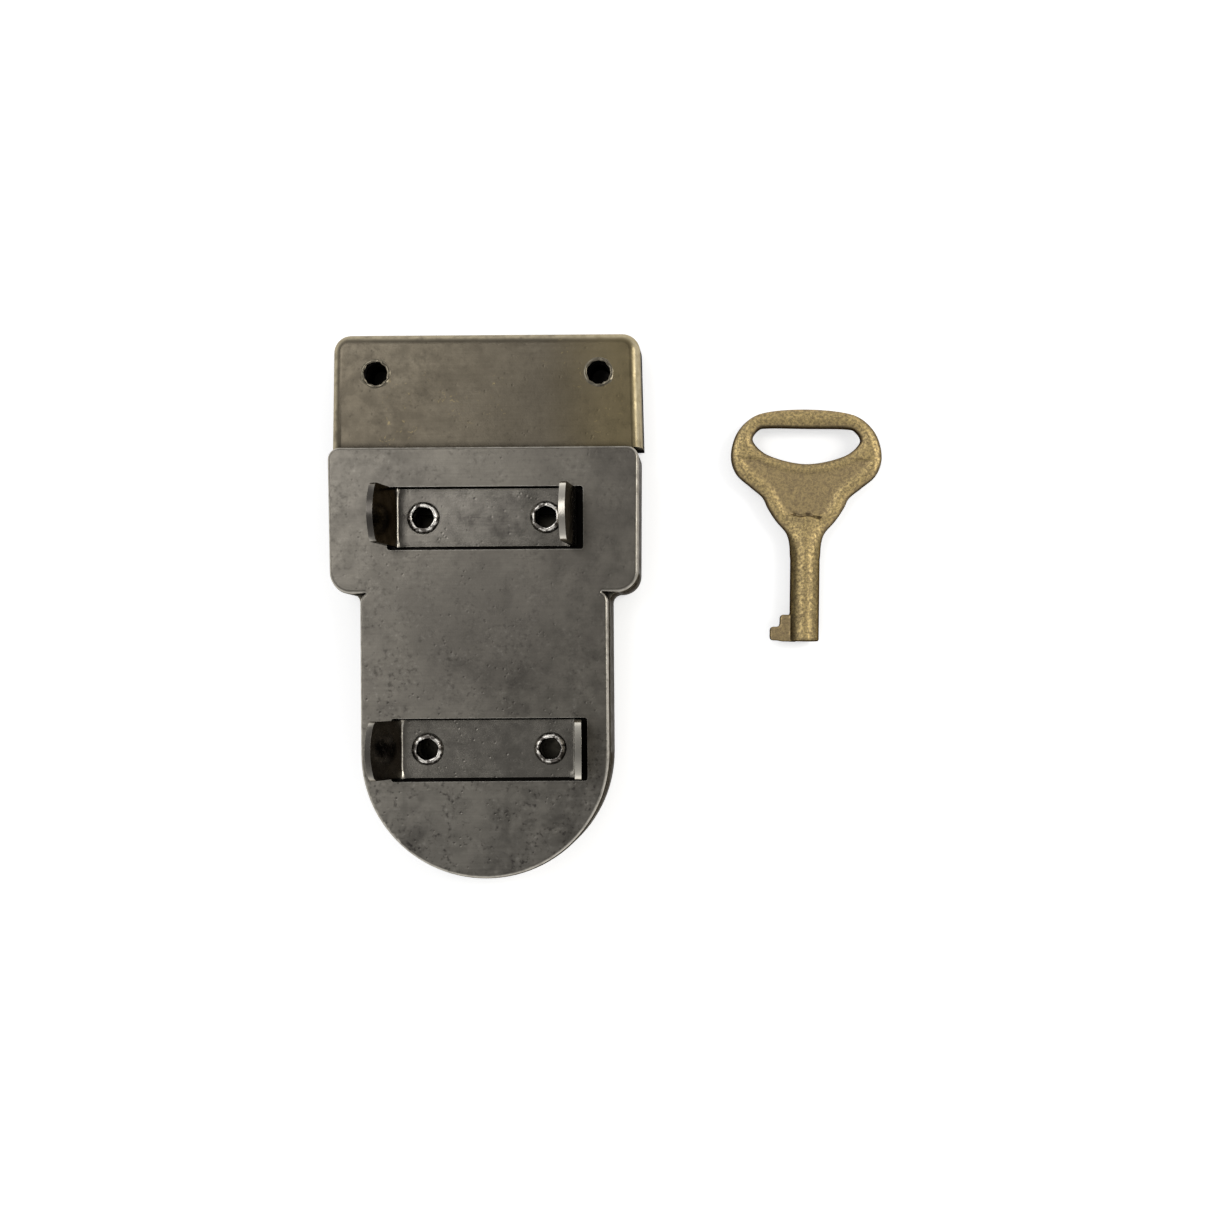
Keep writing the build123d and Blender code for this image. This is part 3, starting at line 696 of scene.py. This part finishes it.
def bracket_row(point, inward, along_tip, to_tip, run, squeeze, centre):
    """One cross-section of the strip: points over its inner face, then back over its outer face."""
    half_width = STRIP_WIDTH / 2
    row = []
    for side in (1, -1):
        for j in range(STRIP_COLUMNS + 1):
            v = (j / STRIP_COLUMNS * 2 - 1) * side
            crown = PRONG_CROWN * v * v + CORNER_DROP * max(0.0, abs(v) - CORNER_START)
            drop = max(0.0, 1.0 - to_tip / (PRONG_LENGTH * CROWN_FADE)) * crown
            from_edge = (1 - abs(v)) * half_width
            curl = CURL_HEIGHT * squeeze * math.exp(-(((from_edge - CURL_INSET) / CURL_WIDTH) ** 2))
            lift = side * STRIP_THICKNESS / 2 + (curl if side > 0 else 0)
            ripple = STRIP_RIPPLE * math.sin(1.3 * run + 2.0 * v) * math.sin(0.9 * run + 5 * v)
            spread = 1 + SQUEEZE_SPREAD * squeeze * side
            place = point - along_tip * drop + inward * (lift + ripple)
            row.append((centre[0] + place[0], centre[1] + v * half_width * spread, place[1]))
    return row


def bracket_mesh(centre, span, leans):
    """Bent strip: crowned tips, and bends whose squeezed metal curls up at the strip's edges."""
    path, bends = bracket_path(span, leans)
    tangents = np.gradient(path, axis=0)
    tangents /= np.linalg.norm(tangents, axis=1)[:, None]
    inward = np.stack([-tangents[:, 1], tangents[:, 0]], axis=1)
    runs = np.concatenate([[0], np.cumsum(np.linalg.norm(np.diff(path, axis=0), axis=1))])
    points = []
    for i, place in enumerate(path):
        first_half = i < len(path) / 2
        to_tip = min(runs[i], runs[-1] - runs[i])
        towards_tip = -tangents[i] if first_half else tangents[i]
        squeeze = math.exp(-((min(np.linalg.norm(place - b) for b in bends) / SQUEEZE_REACH) ** 2))
        points += bracket_row(place, inward[i], towards_tip, to_tip, runs[i], squeeze, centre)
    around = len(points) // len(path)
    faces = ring_faces(len(path), around, False)
    for start in (0, len(points) - around):
        for j in range(around // 2 - 1):
            other = start + around - 1 - j
            faces.append((start + j, start + j + 1, other - 1, other))
    return points, faces


def drill(piece, places):
    """Cuts upright eyelet holes through a piece, and keeps the cut in its mesh."""
    around = 64
    below, above = BASE_TOP - 2, BASE_TOP + 4
    cutters = []
    for x, y in places:
        points = circle(x, y, EYELET_HOLE, below, around) + circle(x, y, EYELET_HOLE, above, around)
        cutters.append((points, capped(2, around)))
    cutter = add_object("cutter", mesh_of("cutter", *joined(cutters)))
    cut = piece.modifiers.new("drill", "BOOLEAN")
    cut.object = cutter
    cut.solver = "EXACT"
    evaluated = piece.evaluated_get(bpy.context.evaluated_depsgraph_get())
    mesh = bpy.data.meshes.new_from_object(evaluated)
    piece.modifiers.clear()
    piece.data = mesh
    bpy.data.objects.remove(cutter)


def make_brackets():
    for node, shape in BRACKETS.items():
        left, right = pair_in(node.replace("prong_bracket", "eyelets"))[:2]
        centre = ((left[0] + right[0]) / 2, left[1])
        mesh = bracket_mesh(centre, shape["span"], shape["leans"])
        piece = add_piece(f"{node}_bent", *mesh, "lock_body", "gunmetal_grey", prong_metal, [node], 38)
        drill(piece, (left, right))
        round_off(piece, 0.13 * MM, 50)


# ----------------------------------------------------------------- screw posts

THREAD_PITCH = 0.5
THREAD_CREST = 1.27
THREAD_ROOT = 1.50
THREAD_ROWS = 10
POST_CHAMFER = 0.15
POST_FLOOR = 0.4
MOUTH_RADIUS = 1.66
BURR_HOLE = 1.62
GLINT_WIDTH = 0.24


def threaded_post(place, outer, bottom, top):
    """Post with a countersunk mouth and a screw thread cut down to a blind floor."""
    around = 72
    x, y = place
    floor_height = bottom + POST_FLOOR
    first_turn = top - 0.35
    section = [(0.02, bottom), (outer - POST_CHAMFER, bottom), (outer, bottom + POST_CHAMFER), (outer, top)]
    section += [(MOUTH_RADIUS, top), (THREAD_ROOT, top - 0.18)]
    points = [p for radius, height in section for p in circle(x, y, radius, height, around)]
    for row in range(int((first_turn - floor_height - 0.5) / THREAD_PITCH * THREAD_ROWS)):
        height = first_turn - row * THREAD_PITCH / THREAD_ROWS
        for a in range(around):
            phase = (height / THREAD_PITCH - a / around) % 1.0
            ridge = (1 - abs(2 * phase - 1)) * min(1.0, 2 * row / THREAD_ROWS)
            radius = THREAD_ROOT + (THREAD_CREST - THREAD_ROOT) * ridge
            turn = 2 * math.pi * a / around
            points.append((x + radius * math.cos(turn), y + radius * math.sin(turn), height))
    for radius, height in ((1.2, floor_height + 0.1), (0.5, floor_height), (0.02, floor_height)):
        points += circle(x, y, radius, height, around)
    return points, capped(len(points) // around, around)


# Round the burr's section: offset from the hole's wall, and height over the shell.
BURR_SECTION = [
    (0.00, -0.45), (-0.14, -0.12), (-0.10, 0.06), (0.02, 0.17), (0.14, 0.16), (0.30, 0.05), (0.40, -0.06),
]
# Where a burr is higher: at how many degrees round the hole, and by how much.
BURR_GLINTS = {
    "left": ((62, 1.0), (205, 1.1), (318, 0.8)),
    "right": ((50, 0.4), (325, 0.7), (150, 0.3)),
}


def burr(place, hole, top, seed, glints):
    """Lip of metal pushed up round a drilled hole, higher in a few places."""
    around = 120
    points = []
    for offset, lift in BURR_SECTION:
        for a in range(around):
            turn = 2 * math.pi * a / around
            swell = 0.30 + 0.15 * math.sin(3 * turn + seed) + 0.12 * math.sin(7 * turn + 2 * seed)
            for degrees, strength in glints:
                away = math.remainder(turn - math.radians(degrees), 2 * math.pi)
                swell += strength * math.exp(-((away / GLINT_WIDTH) ** 2))
            ragged = 0.035 * math.sin(11 * turn + seed) + 0.03 * math.sin(7 * turn - 2 * seed)
            radius = hole + offset * (0.8 + 0.4 * swell) + (ragged if offset < 0.1 else 0)
            height = top + (lift * swell if lift > 0 else lift)
            points.append((place[0] + radius * math.cos(turn), place[1] + radius * math.sin(turn), height))
    return points, ring_faces(len(BURR_SECTION), around, True)


def make_screw_holes():
    left, right, outer, bottom, top = pair_in("flap_screw_posts")
    shell_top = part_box("flap_back_shell")[1].z / MM
    posts = joined([threaded_post(place, outer, bottom, top) for place in (left, right)])
    add_piece("flap_screw_posts_tapped", *posts, "flap_hasp", "plain_steel", steel, ["flap_screw_posts"], 40)
    for side, place, seed in (("left", left, 0.7), ("right", right, 3.1)):
        lip = burr(place, BURR_HOLE, shell_top, seed, BURR_GLINTS[side])
        add_piece(f"screw_hole_burr_{side}", *lip, "flap_hasp", "gunmetal_olive", burr_metal, (), 60)


# ------------------------------------------------------------------------- key

# Right halves of the bow's outline, from the top down, and of its hole, from the bottom up.
BOW_HALF = [
    (0, 30.55), (4.5, 30.25), (7.2, 29.4), (9.2, 27.3), (9.96, 24.4), (9.25, 22.0), (7.3, 20.25),
    (5.75, 18.95), (5.0, 17.5), (3.9, 15.85), (2.35, 14.1), (1.7, 12.6), (1.5, 11.0),
]
HOLE_HALF = [(0, 23.35), (4.9, 24.4), (7.05, 26.3), (6.4, 27.75), (5.0, 28.1), (0, 28.1)]
# The bow's rim, outside and round the hole, and the field that is sunk within it.
OUTER_RIM = 1.35
INNER_RIM = 0.85
RIM_CROWN = 0.26
RIM_CROWN_WIDTH = 1.15
BOW_ROUNDING = 0.42
FIELD_DEPTH = 0.26
FIELD_TOP_Y = 24.0
# The shank's trumpet: where it starts to swell, and how much wider and thinner it gets.
TRUMPET_START = 10.5
TRUMPET_WIDER = 0.35
TRUMPET_THINNER = 0.78
# The bit: the reach and height of its end and of its step.
BIT_END = (-4.55, 1.85)
BIT_STEP = (-3.25, 3.45)
BIT_FOOT = 0.05
BIT_HALF_THICKNESS = 0.7
SEAM_DEPTH = 0.34
SEAM_WIDTH = 0.17


def outline(half):
    """A closed smooth outline from its right half; points on the axis are used once."""
    whole = np.array(half + [(-x, y) for x, y in reversed(half) if x > 0], float)
    line = []
    for i, b in enumerate(whole):
        a, c, d = whole[i - 1], whole[(i + 1) % len(whole)], whole[(i + 2) % len(whole)]
        for t in np.linspace(0, 1, 10, endpoint=False):
            cubic = (3 * b - a - 3 * c + d) * t**3
            square = (2 * a - 5 * b + 4 * c - d) * t**2
            line.append(0.5 * (2 * b + (c - a) * t + square + cubic))
    return np.array(line)


def distance_to(line, x, y):
    """Signed distance from each grid place to a closed outline, negative inside."""
    nearest = np.full(x.shape, 1e9)
    inside = np.zeros(x.shape, bool)
    for (ax, ay), (bx, by) in zip(line, np.roll(line, -1, axis=0)):
        ex, ey = bx - ax, by - ay
        t = np.clip(((x - ax) * ex + (y - ay) * ey) / (ex * ex + ey * ey + 1e-12), 0, 1)
        nearest = np.minimum(nearest, (x - ax - t * ex) ** 2 + (y - ay - t * ey) ** 2)
        if ay != by:
            inside ^= ((ay > y) != (by > y)) & (x < ex * (y - ay) / (by - ay) + ax)
    return np.where(inside, -1, 1) * np.sqrt(nearest)


def rounded_meet(a, b, radius):
    """Where two distance fields are both inside, with the edge between them rounded."""
    a, b = a + radius, b + radius
    return np.minimum(np.maximum(a, b), 0) + np.hypot(np.maximum(a, 0), np.maximum(b, 0)) - radius


def filleted_union(a, b, radius):
    """Either of two distance fields, with a fillet where they meet."""
    share = np.clip(0.5 + 0.5 * (b - a) / radius, 0, 1)
    return b * (1 - share) + a * share - radius * share * (1 - share)


def bow_field(x, y, z):
    """Bow plate: a rounded rim, and a field sunk between the hole and the shank's ledge."""
    flat_x, flat_y = x[:, :, 0], y[:, :, 0]
    edge = distance_to(outline(BOW_HALF), flat_x, flat_y)
    hole = distance_to(outline(HOLE_HALF), flat_x, flat_y)
    sides = np.maximum(edge, -hole)
    in_rim = np.minimum(-edge - OUTER_RIM, hole - INNER_RIM)
    in_band = np.minimum(flat_y - LEDGE_Y, FIELD_TOP_Y - flat_y)
    sunk = FIELD_DEPTH * wave(np.minimum(in_rim, 2.5 * in_band), -0.45, 0.75)
    crowned = RIM_CROWN * (1 - wave(-sides, 0.0, RIM_CROWN_WIDTH))
    half = BOW_HALF_THICKNESS + 0.04 - sunk - crowned
    return rounded_meet(sides[:, :, None] + 0 * z, np.abs(z) - half[:, :, None], BOW_ROUNDING)


def shank_field(x, y, z):
    """Round shank that swells into a flattened trumpet up to the ledge."""
    swell = wave(y, TRUMPET_START, LEDGE_Y - 0.8)
    wide = BARREL_RADIUS + TRUMPET_WIDER * swell
    thick = BARREL_RADIUS - TRUMPET_THINNER * swell
    round_wall = (np.hypot(x / wide, z / thick) - 1) * thick
    return rounded_meet(round_wall, np.maximum(-y, y - LEDGE_Y), 0.18)


def rectangle_field(x, y, left, head):
    """Signed distance to a rounded rectangle from left to x = 0, and from the bit's foot up to head."""
    across = np.maximum(left - x, x)
    along = np.maximum(BIT_FOOT - y, y - head)
    return rounded_meet(across, along, 0.45)


def bit_field(x, y, z):
    """Flat bit: its end reaches further than its step."""
    end = rectangle_field(x, y, *BIT_END)
    step = rectangle_field(x, y, *BIT_STEP)
    return rounded_meet(filleted_union(end, step, 0.5), np.abs(z) - BIT_HALF_THICKNESS, 0.25)


def key_field(x, y, z):
    """Signed distance to the whole key, negative in the metal, with a casting seam across the ledge."""
    metal = filleted_union(bow_field(x, y, z), shank_field(x, y, z), 0.5)
    metal = filleted_union(metal, bit_field(x, y, z), 0.22)
    mouth = 0.18 * (1 - wave(y, 0.0, 0.3))
    bore = np.maximum(np.hypot(x, z) - BARREL_BORE - mouth, y - BARREL_BORE_DEPTH)
    crack = LEDGE_Y + 0.12 * np.sin(2.6 * x + 0.5) - 0.08 * x
    across_ledge = 1 - wave(np.abs(x - 0.2), 1.6, 2.3)
    seam = np.exp(-(((y - crack) / SEAM_WIDTH) ** 2)) * across_ledge * wave(z, 0.3, 0.8)
    return np.maximum(metal + SEAM_DEPTH * seam, -bore)


def crossings_along(field, axis):
    """Where the field changes sign along one axis: which grid edges, at what place, which way."""
    low = [slice(None)] * 3
    high = [slice(None)] * 3
    low[axis] = slice(0, -1)
    high[axis] = slice(1, None)
    a, b = field[tuple(low)], field[tuple(high)]
    crossing = (a < 0) != (b < 0)
    place = np.stack(np.meshgrid(*[np.arange(k, dtype=float) for k in a.shape], indexing="ij"), axis=-1)
    place[..., axis] += np.where(crossing, a / np.where(a == b, 1, a - b), 0)
    return crossing, place, a < 0


def surface_net(field, origin, step):
    """Points and quads of the surface where the field is zero: one point in each cell it crosses."""
    cells = tuple(k - 1 for k in field.shape)
    total = np.zeros(cells + (3,))
    count = np.zeros(cells)
    found = [crossings_along(field, axis) for axis in range(3)]
    for axis, (crossing, place, _) in enumerate(found):
        u, v = [k for k in range(3) if k != axis]
        for du in (0, 1):
            for dv in (0, 1):
                cut = [slice(None)] * 3
                cut[u] = slice(du, du + cells[u])
                cut[v] = slice(dv, dv + cells[v])
                hit = crossing[tuple(cut)]
                total += np.where(hit[..., None], place[tuple(cut)], 0)
                count += hit
    used = count > 0
    number = np.full(cells, -1)
    number[used] = np.arange(used.sum())
    points = total[used] / count[used][:, None] * step + np.array(origin)
    return points, np.concatenate([quads_around(number, axis, *found[axis]) for axis in range(3)])


def quads_around(number, axis, crossing, place, starts_inside):
    """One quad round each crossed grid edge, through the points of the four cells about it."""
    u, v = [k for k in range(3) if k != axis]
    spots = np.argwhere(crossing)
    spots = spots[(spots[:, u] > 0) & (spots[:, v] > 0)]
    corners = []
    for du, dv in ((1, 1), (0, 1), (0, 0), (1, 0)):
        cell = spots.copy()
        cell[:, u] -= du
        cell[:, v] -= dv
        corners.append(number[tuple(cell.T)])
    quads = np.stack(corners, axis=1)
    flip = starts_inside[tuple(spots.T)] ^ (axis == 1)
    quads[~flip] = quads[~flip][:, ::-1]
    return quads


def make_key():
    low, high = (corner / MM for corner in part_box("key"))
    margin = 3 * KEY_STEP
    xs = np.arange(-BOW_HALF_WIDTH - margin, BOW_HALF_WIDTH + margin, KEY_STEP)
    ys = np.arange(-margin, KEY_LENGTH + margin, KEY_STEP)
    zs = np.arange(-BARREL_RADIUS - margin, BARREL_RADIUS + margin, KEY_STEP)
    x, y, z = np.meshgrid(xs, ys, zs, indexing="ij")
    points, quads = surface_net(key_field(x, y, z), (xs[0], ys[0], zs[0]), KEY_STEP)
    turn = math.radians(KEY_TURN)
    turned = points.copy()
    turned[:, 0] = points[:, 0] * math.cos(turn) - points[:, 1] * math.sin(turn)
    turned[:, 1] = points[:, 0] * math.sin(turn) + points[:, 1] * math.cos(turn)
    turned[:, 0] += high.x - turned[:, 0].max() - 0.02
    turned[:, 1] += low.y - turned[:, 1].min() + 0.01
    turned[:, 2] += low.z - turned[:, 2].min()
    add_piece("key_cast", turned, quads, "key", "antique_brass", brass, ["key"], 70)


# ---------------------------------------------------------------- camera, light

CAMERA_PLACE = (31.9, 8.2, 187.0)
CAMERA_SHIFT = (-0.1038, 0.0670)
CAMERA_ROLL = -0.4
LIT_PLACE = (15 * MM, 19 * MM, 5 * MM)
TABLE_SIZE = 6.0
TABLE_HEIGHT = -0.02


def make_camera():
    """Straight above the right of the lock, as the side faces that show say, framed by lens shift."""
    data = bpy.data.cameras.new("camera")
    data.lens = 41.5
    data.shift_x, data.shift_y = CAMERA_SHIFT
    data.clip_start = 0.005
    data.clip_end = 20
    camera = add_object("camera", data)
    camera.location = [c * MM for c in CAMERA_PLACE]
    camera.rotation_euler = (0, 0, math.radians(CAMERA_ROLL))
    bpy.context.scene.camera = camera


def area_light(name, place, size, power, color):
    """A soft box that faces the middle of the lock and key; place and size are in metres."""
    data = bpy.data.lights.new(name, "AREA")
    data.shape = "RECTANGLE"
    data.size, data.size_y = size
    data.energy = power
    data.color = color
    lamp = add_object(name, data)
    lamp.location = place
    lamp.rotation_euler = (Vector(LIT_PLACE) - Vector(place)).to_track_quat("-Z", "Y").to_euler()


def make_tent(horizon, zenith):
    """A white tent all round, whose strength changes from the horizon to overhead."""
    world = bpy.data.worlds.new("tent")
    world.use_nodes = True
    nodes, links = world.node_tree.nodes, world.node_tree.links
    nodes.clear()
    place = nodes.new("ShaderNodeTexCoord")
    split = nodes.new("ShaderNodeSeparateXYZ")
    strength = nodes.new("ShaderNodeMapRange")
    strength.inputs["To Min"].default_value = horizon
    strength.inputs["To Max"].default_value = zenith
    background = nodes.new("ShaderNodeBackground")
    out = nodes.new("ShaderNodeOutputWorld")
    links.new(place.outputs["Generated"], split.inputs[0])
    links.new(split.outputs["Z"], strength.inputs["Value"])
    links.new(strength.outputs[0], background.inputs["Strength"])
    links.new(background.outputs[0], out.inputs["Surface"])
    bpy.context.scene.world = world


def make_light():
    make_tent(1.50, 0.28)
    area_light("left_box", (-0.30, 0.20, 0.62), (0.34, 0.34), 0.85, (1.0, 1.0, 1.0))
    area_light("right_box", (0.50, 0.16, 0.42), (0.22, 0.34), 1.2, (1.0, 0.97, 0.90))


def make_table():
    """A wide white sheet just under the lock."""
    bpy.ops.mesh.primitive_plane_add(size=TABLE_SIZE, location=(0, 0, TABLE_HEIGHT * MM))
    table = bpy.context.object
    table.name = "table"
    table.data.materials.append(table_white())


make_camera()
dress_cad_nodes()
make_eyelets()
make_brackets()
make_screw_holes()
make_key()
make_light()
make_table()
bpy.context.scene.view_settings.view_transform = "Standard"
